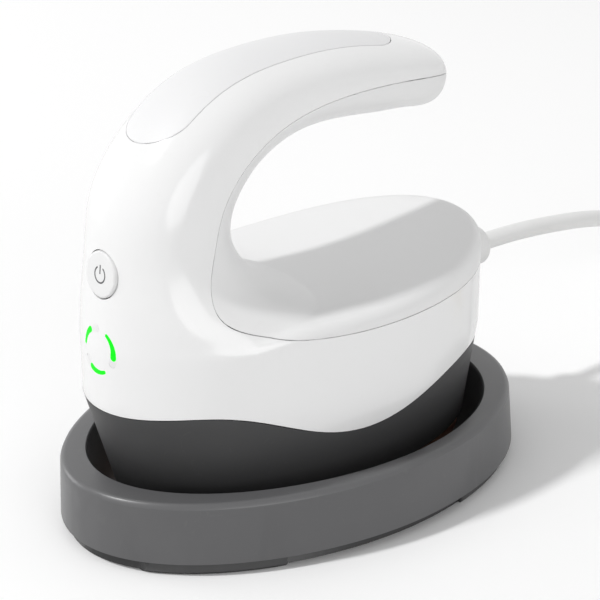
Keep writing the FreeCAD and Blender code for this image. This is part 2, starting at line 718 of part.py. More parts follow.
def heating_parts():
    element_z = plate_top_z - element_sink
    plate = ruled(slab_wire(plate_bottom_z, plate_inset + plate_round),
                  slab_wire(plate_bottom_z + plate_round, plate_inset), slab_wire(plate_top_z, plate_inset))
    slot = element_radius + element_groove_clearance
    groove = [element_tube(element_z, slot)]
    for side in (1, -1):
        x = side * element_half_gap
        groove.append(box(x - slot, x + slot, element_bend_y, element_rear_y + slot, element_z,
                          plate_top_z + 1))
    bend = ring(element_half_gap + slot, 2 * slot, slot * 2, Vector(0, element_bend_y, element_z))
    reach = element_half_gap + slot + 1
    groove.append(bend.common(box(-reach, reach, element_bend_y - reach, element_bend_y, 0,
                                  plate_top_z + slot)))
    for x, y in cover_screw_places + post_places:
        groove.append(cylinder(screw_radius + thread_clearance, stud_depth + 1,
                               Vector(x, y, plate_top_z - stud_depth)))
    save(plate.cut(groove).removeSplitter(), "heat_plate")
    save(element_tube(element_z, element_radius), "heating_element")

    cover = slab(plate_top_z, cover_thickness, cover_inset)
    mat = slab(cover_top_z + mat_gap, mat_thickness, cover_inset)
    shield = slab(shield_z, shield_thickness, shield_inset)
    rim = slab(shield_z - shield_lip, shield_lip, shield_inset)
    shield = shield.fuse(rim.cut(slab(shield_z - shield_lip, shield_lip, shield_inset + shield_thickness)))
    through = []
    stack = shield_z - plate_top_z + 2
    for side in (1, -1):
        terminal = Vector(side * element_half_gap, element_rear_y, plate_top_z - 0.5)
        through.append(cylinder(element_radius + 0.6, stack, terminal))
        through.append(cylinder(element_radius + 0.6, stack, terminal - Vector(0, 3, 0)))
    for x, y in post_places:
        through.append(cylinder(post_radius + hole_clearance, stack, Vector(x, y, plate_top_z - 0.5)))
    cover, mat, shield = cover.cut(through), mat.cut(through), shield.cut(through)
    screws = []
    for x, y in cover_screw_places:
        cover = cover.cut(cylinder(screw_radius + hole_clearance, 2 * cover_thickness,
                                   Vector(x, y, plate_top_z - 0.5)))
        mat = mat.cut(cylinder(screw_head_radius + 0.6, 2 * mat_thickness, Vector(x, y, cover_top_z)))
        screws.append(screw(Vector(x, y, cover_top_z), cover_thickness + stud_depth - 0.3))
    x, y = sensor_place
    mat = mat.cut(cylinder(sensor_radius + 0.4, 2 * mat_thickness, Vector(x, y, cover_top_z)))
    shield = shield.cut(cylinder(fine_wire_radius * 3, 2, Vector(x, y, shield_z - 0.5)))
    x, y = fuse_place
    reach = fuse_length / 2 + fuse_lead_reach + 1
    mat = mat.cut(box(x - reach, x + reach, y - 4.4, y + 4.4, cover_top_z, mat_top_z + 0.1))
    shield = shield.cut(box(x - reach, x + reach, y - 3.4, y + 3.4, shield_z - 0.5, shield_z + 1.5))
    save(cover.removeSplitter(), "element_cover_plate")
    save(solids_of(screws), "cover_plate_screws")
    save(mat.removeSplitter(), "insulation_mat")
    save(shield.removeSplitter(), "heat_shield")
    posts = []
    post_screws = []
    for x, y in post_places:
        foot = Vector(x, y, plate_top_z)
        post = cylinder(post_radius, web_z - plate_top_z, foot)
        stud = cylinder(screw_radius, stud_depth - 0.2, foot - Vector(0, 0, stud_depth - 0.2))
        bore = cylinder(screw_radius + thread_clearance, post_screw_length,
                        Vector(x, y, web_top_z - post_screw_length))
        posts.append(post.fuse(stud).cut(bore))
        post_screws.append(screw(Vector(x, y, web_top_z), post_screw_length - 0.5))
    save(solids_of(posts), "plate_posts")
    save(solids_of(post_screws), "plate_post_screws")
    foot = Vector(sensor_place[0], sensor_place[1], cover_top_z)
    sensor = cylinder(sensor_radius, sensor_height / 2,
                      foot).fuse(cylinder(sensor_radius / 2, sensor_height, foot))
    save(sensor, "temperature_sensor")
    along_x = Vector(1, 0, 0)
    middle = Vector(fuse_place[0], fuse_place[1], cover_top_z + fuse_lift)
    save(cylinder(fuse_radius, fuse_length, middle - along_x * (fuse_length / 2), along_x), "thermal_fuse")
    half = fuse_length / 4
    strap = ring(fuse_radius + strap_gap + strap_thickness, strap_thickness, 2 * half,
                 middle - along_x * half, along_x)
    x, y = fuse_place
    strap = strap.fuse(box(x - half, x + half, y - strap_half_reach, y + strap_half_reach,
                           cover_top_z, cover_top_z + strap_thickness))
    strap = strap.cut(box(x - reach, x + reach, y - 5, y + 5, cover_top_z - 2, cover_top_z))
    strap = strap.cut(cylinder(fuse_radius + strap_gap, fuse_length, middle - along_x * (fuse_length / 2),
                               along_x))
    save(strap.removeSplitter(), "fuse_strap")


def bent_line(points, stiff=0.45):
    """Straight runs joined by tangent arcs; returns the wire and the arc radii."""
    spots = [Vector(*point) for point in points]
    edges = []
    radii = []
    start = spots[0]
    for before, corner, after in zip(spots, spots[1:], spots[2:]):
        first = (corner - before).normalize()
        second = (after - corner).normalize()
        half_turn = first.getAngle(second) / 2
        cut = stiff * min((corner - before).Length, (after - corner).Length)
        radius = cut / math.tan(half_turn)
        radii.append(radius)
        begin = corner - first * cut
        end = corner + second * cut
        inward = (second - first).normalize()
        middle = corner + inward * (radius / math.cos(half_turn) - radius)
        edges.append(Part.LineSegment(start, begin).toShape())
        edges.append(Part.Arc(begin, middle, end).toShape())
        start = end
    edges.append(Part.LineSegment(start, spots[-1]).toShape())
    return Part.Wire(edges), radii


def tube_along(wire, radius, start, direction):
    circle = Part.Wire(Part.Circle(start, direction, radius).toShape())
    return wire.makePipeShell([circle], True, False)


def cord_tube(points, name):
    radius = cord_diameter / 2
    wire, radii = bent_line(points)
    shape = tube_along(wire, radius, Vector(*points[0]), Vector(*points[1]) - Vector(*points[0]))
    print(name, "length", round(wire.Length, 1), "least radius", round(min(radii), 1),
          "volume over section by length", round(shape.Volume / (math.pi * radius ** 2 * wire.Length), 4))
    return shape


def rod(wire, radius):
    """Round rod built from a cylinder for each straight run and a turned section for each arc."""
    pieces = []
    for edge in wire.Edges:
        first, last = edge.FirstParameter, edge.LastParameter
        start = edge.valueAt(first)
        run = edge.tangentAt(first)
        if isinstance(edge.Curve, Part.Circle):
            section = Part.Face(Part.Wire(Part.Circle(start, run, radius).toShape()))
            pieces.append(section.revolve(edge.Curve.Center, edge.Curve.Axis, math.degrees(last - first)))
        else:
            pieces.append(cylinder(radius, edge.Length, start, run))
    return pieces[0].fuse(pieces[1:])


def wire_rod(points, radius):
    return rod(bent_line(points)[0], radius)


def element_tube(z, radius):
    """Tube bent to a U that lies in the plate, both ends turned up as terminals."""
    rise = element_top_z - z
    bend = element_end_bend
    edges = []
    for side in (1, -1):
        x = side * element_half_gap
        top = Vector(x, element_rear_y, element_top_z)
        knee = Vector(x, element_rear_y, z + bend)
        low = Vector(x, element_rear_y - bend, z)
        shift = bend * (1 - math.sqrt(0.5))
        middle = Vector(x, element_rear_y - shift, z + shift)
        front = Vector(x, element_bend_y, z)
        edges.append(Part.LineSegment(top, knee).toShape())
        edges.append(Part.Arc(knee, middle, low).toShape())
        edges.append(Part.LineSegment(low, front).toShape())
    ends = [Vector(side * element_half_gap, element_bend_y, z) for side in (1, -1)]
    tip = Vector(0, element_bend_y - element_half_gap, z)
    edges.append(Part.Arc(ends[0], tip, ends[1]).toShape())
    return rod(Part.Wire(Part.__sortEdges__(edges)), radius)


def board_parts():
    x0, x1 = -power_board_half_width, power_board_half_width
    top_z = power_board_z + board_thickness
    board = box(x0, x1, power_board_front_y, power_board_rear_y, power_board_z, top_z)
    screws = []
    for x, y in board_post_places:
        board = board.cut(cylinder(screw_radius + hole_clearance, 2 * board_thickness,
                                   Vector(x, y, power_board_z - 1)))
        screws.append(screw(Vector(x, y, top_z), board_thickness + board_screw_length - 1))
    save(board, "power_board")
    x0, x1, y0, y1 = terminal_block
    block = box(x0, x1, y0, y1, top_z, top_z + terminal_block_height)
    for x in (-element_half_gap, -supply_wire_x, supply_wire_x, element_half_gap):
        block = block.cut(cylinder(screw_radius, 2 * terminal_screw_depth,
                                   Vector(x, (y0 + y1) / 2,
                                          top_z + terminal_block_height - terminal_screw_depth)))
    save(block, "terminal_block")
    x0, x1, y0, y1 = relay
    body = box(x0, x1, y0, y1, top_z, top_z + relay_height)
    save(body, "heater_relay")
    x, y = capacitor_place
    save(cylinder(capacitor_radius, capacitor_height, Vector(x, y, top_z)), "board_capacitor")

    board_front = control_board_y - board_thickness
    half = control_board_half_width
    board = box(-half, half, board_front, control_board_y, control_board_low_z, control_board_high_z)
    for x, z in control_boss_places:
        board = board.cut(cylinder(control_screw_radius + 0.2, 2 * board_thickness,
                                   Vector(x, board_front - 1, z), along_y))
        screws.append(small_screw(Vector(x, control_board_y, z)))
    save(board, "control_board")
    save(solids_of(screws), "board_screws")
    half = switch_size / 2
    front = board_front - switch_height
    switch = box(-half, half, front, board_front, button_z - half, button_z + half)
    switch = switch.cut(cylinder(plunger_radius + 0.15, switch_bore, Vector(0, front, button_z), along_y))
    save(switch, "tact_switch")
    button_rear = front_y(button_z) + button_skin + 0.1 + button_flange_thickness
    reach = front + switch_bore - button_travel - button_gap
    save(cylinder(plunger_radius, reach - button_rear, Vector(0, button_rear, button_z), along_y),
         "switch_plunger")
    face = front_y(button_z) - button_proud
    cap = cylinder(button_radius, button_rear - face, Vector(0, face, button_z), along_y)
    cap = cap.makeChamfer(button_bevel, [edge for edge in cap.Edges if edge.BoundBox.YMax < face + 0.1])
    flange = cylinder(button_radius + button_flange, button_flange_thickness,
                      Vector(0, button_rear - button_flange_thickness, button_z), along_y)
    save(cap.fuse(flange).removeSplitter(), "power_button")

    leds = []
    for angle in light_angles:
        x = light_radius * math.cos(math.radians(angle))
        z = light_z + light_radius * math.sin(math.radians(angle))
        half = led_size / 2
        leds.append(box(x - half, x + half, board_front - led_height, board_front, z - half, z + half))
    save(solids_of(leds), "indicator_leds")
    plate_back = front_y(light_z) + lens_skin + lens_plate_thickness
    save(ring(lens_plate_radius + shroud_wall, shroud_wall, board_front - plate_back,
              Vector(0, plate_back, light_z), along_y),
         "light_shroud")


def small_screw(seat):
    head = cylinder(control_screw_radius * 1.8, control_screw_radius, seat, along_y)
    return head.fuse(cylinder(control_screw_radius, board_thickness, seat, along_y * -1))


def lens_part(form):
    front = front_y(light_z)
    seat = Vector(0, front + lens_skin, light_z)
    lens = cylinder(lens_plate_radius, lens_plate_thickness, seat, along_y)
    arcs = []
    for angle in light_angles:
        face = light_arc(angle, 0.0)
        face.translate(Vector(0, front - wall, 0))
        arcs.append(face.extrude(Vector(0, wall + lens_skin + lens_plate_thickness / 2, 0)).common(form))
    save(lens.fuse(arcs).removeSplitter(), "indicator_lens")


def gland_part(form):
    """Strain relief: a flange inside the wall, a neck through it and a barrel outside."""
    flange = cylinder(gland_flange_radius, gland_flange_y - gland_front_y,
                      Vector(0, gland_front_y, cord_exit_z), along_y)
    neck = cylinder(gland_neck_radius, gland_rear_y - gland_front_y - 3,
                    Vector(0, gland_front_y, cord_exit_z), along_y)
    start = body_widest_y + body_rear - wall
    length = gland_rear_y - start
    barrel = cylinder(gland_radius, length, Vector(0, start, cord_exit_z), along_y)
    barrel = barrel.makeFillet(gland_end_round,
                               [edge for edge in barrel.Edges if edge.BoundBox.YMin > gland_rear_y - 0.5])
    save(flange.fuse([neck, barrel.cut(form)]).removeSplitter(), "cord_gland")


def wire_parts():
    x = element_half_gap
    block_rear = terminal_block[3]
    block_z = power_board_z + board_thickness + terminal_block_height / 2
    leads = []
    for side in (1, -1):
        leads.append(wire_rod(((side * x, element_rear_y, element_top_z), (side * x, element_rear_y, block_z),
                           (side * x, block_rear, block_z)), wire_radius))
    save(solids_of(leads), "heater_leads")
    supply = []
    for side in (1, -1):
        supply.append(wire_rod(((side * supply_wire_x / 2, gland_front_y, cord_exit_z),
                            (side * supply_wire_x / 2, gland_front_y - 10, cord_exit_z),
                            (side * supply_wire_x, block_rear + 10, block_z),
                            (side * supply_wire_x, block_rear, block_z)), wire_radius))
    save(solids_of(supply), "supply_wires")
    fine = []
    lead_z = cover_top_z + fuse_lift
    sx, sy = sensor_place
    fine.append(cylinder(fine_wire_radius, power_board_z - cover_top_z - sensor_height,
                         Vector(sx, sy, cover_top_z + sensor_height)))
    fx, fy = fuse_place
    for side in (1, -1):
        near = fx + side * fuse_length / 2
        far = near + side * fuse_lead_reach
        fine.append(wire_rod(((near, fy, lead_z), (far, fy, lead_z), (far, fy, power_board_z)),
                             fine_wire_radius))
    save(solids_of(fine), "sensor_leads")
    top_z = power_board_z + board_thickness
    plug_y = power_board_front_y + 1
    socket_z = control_board_low_z + 2 * connector_depth
    half_height = connector_height / 2
    plug = box(-connector_half_width, connector_half_width, plug_y, plug_y + connector_depth,
               top_z, top_z + connector_height)
    socket = box(-connector_half_width, connector_half_width, control_board_y,
                 control_board_y + connector_depth,
                 socket_z - half_height, socket_z + half_height)
    save(solids_of([plug, socket]), "board_connectors")
    spots = [(0, plug_y, top_z + half_height), (0, plug_y - 2 * cable_bend, top_z + half_height),
             (0, control_board_y + 2 * cable_bend, socket_z), (0, control_board_y + connector_depth, socket_z)]
    wire, _ = bent_line(spots)
    y, z = spots[0][1], spots[0][2]
    half = cable_thickness / 2
    section = Part.makePolygon([Vector(-cable_half_width, y, z - half), Vector(cable_half_width, y, z - half),
                                Vector(cable_half_width, y, z + half), Vector(-cable_half_width, y, z + half),
                                Vector(-cable_half_width, y, z - half)])
    save(wire.makePipeShell([section], True, True), "board_cable")


def coil_turns(start):
    """Half turns of the neat coil: in on the upper layer, one sloping half turn down, out on the lower one."""
    radii = [coil_outer_radius - coil_pitch / 2 * index for index in range(coil_half_turns)]
    sizes = radii + [radii[-1] - coil_pitch / 2] + radii[::-1]
    low_z = start.z - coil_layer_pitch
    here = start
    edges = []
    for index, radius in enumerate(sizes):
        heading = 1 if index % 2 == 0 else -1
        z = low_z if index >= coil_half_turns else start.z
        there = Vector(here.x + heading * 2 * radius, here.y, z)
        centre = (here + there) * 0.5
        reach = (there - here).Length / 2
        across = (there - here).normalize()
        forward = Vector(0, heading, 0)
        lean = math.sqrt(0.5)
        first = centre + (across * -lean + forward * lean) * reach
        middle = centre + forward * reach
        last = centre + (across * lean + forward * lean) * reach
        edges.append(Part.Arc(here, first, middle).toShape())
        edges.append(Part.Arc(middle, last, there).toShape())
        here = there
    return edges, here


def least_gap(edges, radius):
    """Least distance between turns of the winding, measured on points along it."""
    points = []
    done = 0.0
    for edge in edges:
        count = max(int(edge.Length / 4), 2)
        for step in range(count):
            points.append((done + edge.Length * step / count, edge.valueAt(
                edge.FirstParameter + (edge.LastParameter - edge.FirstParameter) * step / count)))
        done += edge.Length
    least = 1000.0
    for index, (place, spot) in enumerate(points):
        for other, far in points[index + 1:]:
            if other - place > 12 * radius:
                least = min(least, spot.distanceToPoint(far))
    return least - 2 * radius


def cord_parts():
    radius = cord_diameter / 2
    save(cord_tube(cord_points, "power_cord"), "power_cord")
    start = Vector(*cord_points[-1])
    begin = start + Vector(0, cord_diameter, 0)
    edges, end = coil_turns(begin)
    finish = end - Vector(0, cord_diameter, 0)
    line = [Part.LineSegment(start, begin).toShape()] + edges + [Part.LineSegment(end, finish).toShape()]
    wire = Part.Wire(line)
    coil = tube_along(wire, radius, start, Vector(0, 1, 0))
    print("cord_coil length", round(wire.Length, 1), "least radius", coil_outer_radius
          - coil_pitch / 2 * coil_half_turns, "self gap", round(least_gap(line, radius), 2),
          "volume over section by length", round(coil.Volume / (math.pi * radius ** 2 * wire.Length), 4))
    save(coil, "cord_coil")
    tail = [tuple(finish + Vector(*point)) for point in tail_points]
    save(cord_tube(tail, "cord_tail"), "cord_tail")
    plug_parts(Vector(*tail[-1]))
    tie_part(begin)


def rounded_section(centre, half_width, half_height, corner):
    """Rounded rectangle across Y."""
    wire = Part.makePolygon([centre + Vector(-half_width, 0, -half_height),
                             centre + Vector(half_width, 0, -half_height),
                             centre + Vector(half_width, 0, half_height), centre + Vector(-half_width, 0,
                                                                                          half_height),
                             centre + Vector(-half_width, 0, -half_height)])
    solid = Part.Face(wire).extrude(Vector(0, -1, 0))
    solid = solid.makeFillet(corner, [edge for edge in solid.Edges if edge.BoundBox.YLength > 0.5])
    for face in solid.Faces:
        if face.BoundBox.YMin > centre.y - 0.01:
            return face.OuterWire
    return wire


def plug_parts(nose):
    """Flat two blade plug lying on the floor in line with the cord's tail."""
    half_height = plug_thickness / 2
    wires = [rounded_section(nose, plug_nose_width / 2, plug_nose_width / 2 - 0.5, plug_corner),
             rounded_section(nose - Vector(0, plug_length * plug_shoulder, 0), plug_width / 2, half_height,
                             plug_corner),
             rounded_section(nose - Vector(0, plug_length, 0), plug_width / 2, half_height, plug_corner)]
    body = Part.makeLoft(wires, True, True)
    face_y = nose.y - plug_length
    blades = []
    for side in (1, -1):
        x = nose.x + side * blade_half_gap
        blade = box(x - blade_thickness / 2, x + blade_thickness / 2, face_y - blade_length, face_y + plug_sink,
                    nose.z - blade_width / 2, nose.z + blade_width / 2)
        hole = cylinder(blade_hole_radius, 2 * blade_thickness,
                        Vector(x - blade_thickness, face_y - blade_length + blade_hole_place, nose.z),
                        Vector(1, 0, 0))
        blades.append(blade.cut(hole))
        body = body.cut(blade)
    save(body, "plug_body")
    save(solids_of(blades), "plug_blades")


def tie_part(begin):
    """Strap round all turns of the coil on the side away from the press."""
    radius = cord_diameter / 2
    x = begin.x + coil_outer_radius + coil_pitch / 2
    inner = coil_outer_radius - coil_pitch / 2 * (coil_half_turns - 1)
    y0 = begin.y + inner - radius - tie_slack
    y1 = begin.y + coil_outer_radius + radius + tie_gap
    z0 = begin.z - coil_layer_pitch - radius - tie_gap
    z1 = begin.z + radius + tie_gap
    half = tie_width / 2
    thick = tie_thickness
    outer = box(x - half, x + half, y0 - thick, y1 + thick, z0 - thick, z1 + thick)
    inside = box(x - half, x + half, y0, y1, z0, z1)
    outer = outer.makeFillet(radius, [edge for edge in outer.Edges if edge.BoundBox.XLength > 1])
    inside = inside.makeFillet(radius - thick, [edge for edge in inside.Edges if edge.BoundBox.XLength > 1])
    save(outer.cut(inside), "cord_tie")


os.makedirs("parts", exist_ok=True)
form = lower_body().fuse([deck_part(), handle_form()])
stand_parts()
shell_parts(form)
housing_parts()
heating_parts()
board_parts()
lens_part(form)
gland_part(form)
wire_parts()
cord_parts()
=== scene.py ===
import math

import bmesh
import bpy
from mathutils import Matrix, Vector
from mathutils.bvhtree import BVHTree
from mathutils.interpolate import poly_3d_calc


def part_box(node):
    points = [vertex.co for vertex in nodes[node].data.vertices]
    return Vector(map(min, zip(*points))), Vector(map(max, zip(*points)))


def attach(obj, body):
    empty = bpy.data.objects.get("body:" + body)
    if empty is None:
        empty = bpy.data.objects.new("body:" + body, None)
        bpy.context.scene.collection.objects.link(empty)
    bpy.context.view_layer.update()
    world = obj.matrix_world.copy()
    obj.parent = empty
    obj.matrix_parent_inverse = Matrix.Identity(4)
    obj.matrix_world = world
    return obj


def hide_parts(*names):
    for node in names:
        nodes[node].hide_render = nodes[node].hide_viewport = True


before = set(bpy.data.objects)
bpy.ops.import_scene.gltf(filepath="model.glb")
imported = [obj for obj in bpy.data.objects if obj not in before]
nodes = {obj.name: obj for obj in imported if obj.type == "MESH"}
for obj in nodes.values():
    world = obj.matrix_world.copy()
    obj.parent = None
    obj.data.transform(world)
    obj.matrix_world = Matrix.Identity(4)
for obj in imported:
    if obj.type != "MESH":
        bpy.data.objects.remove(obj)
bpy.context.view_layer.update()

millimetre = 0.001
print("frame loaded:", len(nodes), "solids")

# view, fitted to the photo
viewSet = {
    "eye": (0.3277, -0.2917, 0.2302),
    "target": (0.01776, -0.01187, 0.06244),
    "lens": 99.06,
    "sensor": 36.0,
    "clipStart": 0.01,
}


def aimAt(obj, target):
    direction = Vector(target) - obj.location
    obj.rotation_euler = direction.to_track_quat("-Z", "Y").to_euler()


def addCamera():
    camData = bpy.data.cameras.new("photoCamera")
    camData.lens = viewSet["lens"]
    camData.sensor_width = viewSet["sensor"]
    camData.clip_start = viewSet["clipStart"]
    cam = bpy.data.objects.new("photoCamera", camData)
    bpy.context.scene.collection.objects.link(cam)
    cam.location = viewSet["eye"]
    aimAt(cam, viewSet["target"])
    bpy.context.scene.camera = cam


addCamera()
bpy.context.scene.view_settings.view_transform = "Standard"


# small helpers
def deselectAll():
    for obj in bpy.context.selected_objects:
        obj.select_set(False)


def makeActive(obj):
    deselectAll()
    obj.select_set(True)
    bpy.context.view_layer.objects.active = obj


def giveMaterial(obj, material):
    obj.data.materials.clear()
    obj.data.materials.append(material)


def settle(obj):
    # the finished piece sits at the origin with its place in its mesh
    makeActive(obj)
    bpy.ops.object.transform_apply(location=True, rotation=True, scale=True)


def applyModifiers(obj):
    makeActive(obj)
    for modifier in list(obj.modifiers):
        bpy.ops.object.modifier_apply(modifier=modifier.name)


def held(value):
    return min(max(value, 0.0), 1.0)


def addNode(tree, kind, values=None, operation=None):
    node = tree.nodes.new("ShaderNode" + kind)
    if operation:
        node.operation = operation
    if kind == "Mix":
        node.data_type = "RGBA"
    for socket, value in (values or {}).items():
        node.inputs[socket].default_value = value
    return node


# shader groups
def newGroup(name, inputs, outputs):
    group = bpy.data.node_groups.new(name, "ShaderNodeTree")
    for label, kind, value in inputs:
        socket = group.interface.new_socket(label, in_out="INPUT", socket_type=kind)
        if value is not None:
            socket.default_value = value
    for label, kind in outputs:
        group.interface.new_socket(label, in_out="OUTPUT", socket_type=kind)
    start = group.nodes.new("NodeGroupInput")
    end = group.nodes.new("NodeGroupOutput")
    return group, start, end


grainSet = {
    "detail": 6.0,
    "roughness": 0.65,
    "cloudScale": 45.0,
    "cloudDetail": 4.0,
    "cloudMiddle": 0.5,
}


def buildFineGrain():
    # moulded grain: a height for Bump and a small change of roughness
    inputs = [
        ("Vector", "NodeSocketVector", None),
        ("Scale", "NodeSocketFloat", 900.0),
        ("Roughness", "NodeSocketFloat", 0.5),
        ("Spread", "NodeSocketFloat", 0.05),
    ]
    outputs = [("Height", "NodeSocketFloat"), ("Roughness", "NodeSocketFloat")]
    group, start, end = newGroup("fineGrain", inputs, outputs)
    grain = addNode(group, "TexNoise", {"Detail": grainSet["detail"], "Roughness": grainSet["roughness"]})
    cloud = addNode(group, "TexNoise", {"Scale": grainSet["cloudScale"], "Detail": grainSet["cloudDetail"]})
    centre = addNode(group, "Math", {1: grainSet["cloudMiddle"]}, "SUBTRACT")
    spread = addNode(group, "Math", operation="MULTIPLY")
    total = addNode(group, "Math", operation="ADD")
    link = group.links.new
    link(start.outputs["Vector"], grain.inputs["Vector"])
    link(start.outputs["Scale"], grain.inputs["Scale"])
    link(start.outputs["Vector"], cloud.inputs["Vector"])
    link(cloud.outputs["Fac"], centre.inputs[0])
    link(centre.outputs[0], spread.inputs[0])
    link(start.outputs["Spread"], spread.inputs[1])
    link(spread.outputs[0], total.inputs[0])
    link(start.outputs["Roughness"], total.inputs[1])
    link(grain.outputs["Fac"], end.inputs["Height"])
    link(total.outputs[0], end.inputs["Roughness"])
    return group


scuffSet = {
    "cloudDetail": 8.0,
    "cloudRoughness": 0.6,
    "dustStart": 0.56,
    "dustFull": 0.78,
    "scratchScale": 260.0,
    "scratchDetail": 2.0,
    "scratchDistortion": 1.5,
    "scratchStart": 0.66,
    "scratchFull": 0.72,
}


def buildScuffs():
    # rare fine scratches and soft dust, as a mask and a colour laid over the base colour
    inputs = [
        ("Vector", "NodeSocketVector", None),
        ("Base Color", "NodeSocketColor", (0.8, 0.8, 0.8, 1.0)),
        ("Worn Color", "NodeSocketColor", (0.7, 0.7, 0.7, 1.0)),
        ("Scale", "NodeSocketFloat", 40.0),
        ("Amount", "NodeSocketFloat", 0.5),
    ]
    outputs = [("Color", "NodeSocketColor"), ("Mask", "NodeSocketFloat")]
    group, start, end = newGroup("scuffs", inputs, outputs)
    cloud = addNode(group, "TexNoise", {
        "Detail": scuffSet["cloudDetail"],
        "Roughness": scuffSet["cloudRoughness"],
    })
    scratch = addNode(group, "TexNoise", {
        "Scale": scuffSet["scratchScale"],
        "Detail": scuffSet["scratchDetail"],
        "Distortion": scuffSet["scratchDistortion"],
    })
    dust = addNode(group, "MapRange", {"From Min": scuffSet["dustStart"], "From Max": scuffSet["dustFull"]})
    fine = addNode(group, "MapRange", {
        "From Min": scuffSet["scratchStart"],
        "From Max": scuffSet["scratchFull"],
    })
    both = addNode(group, "Math", operation="ADD")
    both.use_clamp = True
    amount = addNode(group, "Math", operation="MULTIPLY")
    mix = addNode(group, "Mix")
    link = group.links.new
    link(start.outputs["Vector"], cloud.inputs["Vector"])
    link(start.outputs["Scale"], cloud.inputs["Scale"])
    link(start.outputs["Vector"], scratch.inputs["Vector"])
    link(cloud.outputs["Fac"], dust.inputs["Value"])
    link(scratch.outputs["Fac"], fine.inputs["Value"])
    link(dust.outputs["Result"], both.inputs[0])
    link(fine.outputs["Result"], both.inputs[1])
    link(both.outputs[0], amount.inputs[0])
    link(start.outputs["Amount"], amount.inputs[1])
    link(amount.outputs[0], mix.inputs["Factor"])
    link(start.outputs["Base Color"], mix.inputs["A"])
    link(start.outputs["Worn Color"], mix.inputs["B"])
    link(mix.outputs["Result"], end.inputs["Color"])
    link(amount.outputs[0], end.inputs["Mask"])
    return group


fineGrain = buildFineGrain()
scuffs = buildScuffs()
print("shader groups built")

# what a finish has where its own row says nothing else
plainLook = {
    "spread": 0.05,
    "grainScale": 900.0,
    "bump": 0.15,
    "bumpDistance": 0.00004,
    "metallic": 0.0,
    "coat": 0.0,
    "coatRoughness": 0.1,
    "amount": 0.25,
    "wearScale": 40.0,
    "stretch": (1.0, 1.0, 1.0),
    "glowStrength": 0.0,
    "sheen": 0.0,
    "specular": 0.5,
}

